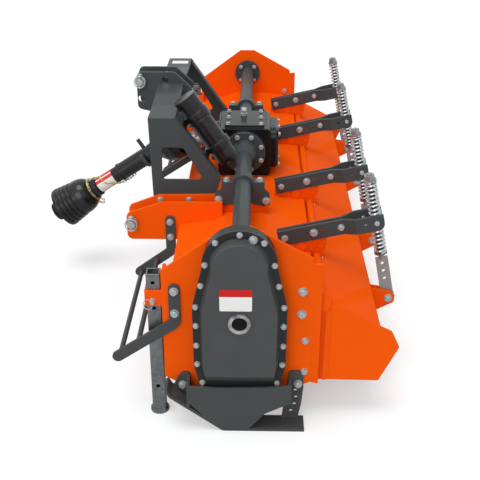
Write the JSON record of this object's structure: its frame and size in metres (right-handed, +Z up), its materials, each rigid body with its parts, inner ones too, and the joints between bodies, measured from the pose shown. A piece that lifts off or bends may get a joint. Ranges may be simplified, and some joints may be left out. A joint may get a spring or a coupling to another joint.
{
  "type": "rotavator",
  "caption": "Three-point rotary tiller with side gear case, tined rotor under a folded hood, spring-held tailgate, parking legs and a guarded drive shaft.",
  "frame": {"origin": "on the ground, under the middle of the machine's length and width; y = 0 is the hitch centreline", "axes": "+X forward, towards the tractor; +Y to the drive side, where the gear case is; +Z up"},
  "size_m": [1.2837, 2.155, 0.8391],
  "materials": {
    "orange_paint": "glossy orange powder coat",
    "charcoal_paint": "satin charcoal powder coat",
    "black_casting": "satin black paint on cast iron",
    "black_plastic": "moulded, lightly grained",
    "zinc_plate": "bright zinc",
    "spring_zinc": "zinc plated spring wire",
    "galvanised": "galvanised",
    "bare_steel": "machined, oiled",
    "tine_steel": "black painted forged steel",
    "bright_chrome": "polished ring"
  },
  "bodies": {
    "frame": {"side_plate_left": "orange_paint", "side_plate_right": "orange_paint", "hood_deck": "orange_paint", "gate_lugs": "orange_paint", "gate_hinge_rod": "zinc_plate", "gate_arms": "charcoal_paint", "hitch_plates_left": "orange_paint", "hitch_plates_right": "orange_paint", "lower_hitch_pins": "zinc_plate", "headstock_plate_left": "charcoal_paint", "headstock_plate_right": "charcoal_paint", "headstock_ears": "charcoal_paint", "top_hitch_pin": "zinc_plate", "gearbox": "black_casting", "input_shaft": "bare_steel", "axle_tube_left": "charcoal_paint", "axle_tube_right": "charcoal_paint", "tube_saddles": "charcoal_paint", "gear_case": "black_casting", "gear_case_cover": "charcoal_paint", "sight_glass": "bright_chrome", "rotor_bearings": "black_casting", "bearing_cap_right": "black_casting", "skid_left": "charcoal_paint", "skid_right": "charcoal_paint", "stand_sleeve_left": "orange_paint", "stand_sleeve_right": "orange_paint", "front_guard_left": "charcoal_paint", "front_guard_right": "charcoal_paint", "manual_canister": "black_plastic", "pto_rest": "charcoal_paint"},
    "rotor": {"rotor_tube": "orange_paint", "rotor_tines": "tine_steel"},
    "tailgate": {"tailgate_panel": "orange_paint", "tailgate_wings": "orange_paint", "tailgate_brackets": "orange_paint"},
    "trunnions": {"trunnion_blocks": "zinc_plate", "upper_springs": "spring_zinc", "lower_springs": "spring_zinc"},
    "rods": {"spring_rods": "zinc_plate"},
    "leg_left": {"parking_leg_left": "galvanised"},
    "leg_right": {"parking_leg_right": "galvanised"},
    "pto_inner": {"pto_yoke": "bare_steel", "pto_guard": "black_plastic"},
    "pto_outer": {"pto_outer_guard": "black_plastic", "pto_bell": "black_plastic", "pto_outer_yoke": "bare_steel"}
  },
  "joints": [
    {"name": "rotor_turn", "type": "hinge", "parent": "frame", "child": "rotor", "pos_m": [-0.134, 0, 0.22], "axis": [0, 1, 0], "continuous": true},
    {"name": "tailgate_lift", "type": "hinge", "parent": "frame", "child": "tailgate", "pos_m": [-0.374, 0, 0.418], "axis": [0, 1, 0], "range_deg": [0, 10]},
    {"name": "trunnion_swivel", "type": "hinge", "parent": "frame", "child": "trunnions", "pos_m": [-0.554, 0, 0.544], "axis": [0, 1, 0], "range_deg": [0, 7.63]},
    {"name": "rod_slide", "type": "slide", "parent": "trunnions", "child": "rods", "axis": [0.2042, 0, 0.9789], "range_m": [0, 0.0367], "deforming": ["lower_springs"]},
    {"name": "leg_left_slide", "type": "slide", "parent": "frame", "child": "leg_left", "axis": [0, 0, 1], "range_m": [0, 0.13]},
    {"name": "leg_right_slide", "type": "slide", "parent": "frame", "child": "leg_right", "axis": [0, 0, 1], "range_m": [0, 0.13]},
    {"name": "drive_shaft_lift", "type": "hinge", "parent": "frame", "child": "pto_inner", "pos_m": [0.151, 0, 0.547], "axis": [0, -1, 0], "range_deg": [0, 30]},
    {"name": "drive_shaft_slide", "type": "slide", "parent": "pto_inner", "child": "pto_outer", "axis": [0.8387, 0, -0.5446], "range_m": [0, 0.1]}
  ],
  "couplings": [
    {"joint": "trunnion_swivel", "follows": "tailgate_lift", "ratio": 0.7233},
    {"joint": "rod_slide", "follows": "tailgate_lift", "m_per_rad": 0.2068}
  ]
}
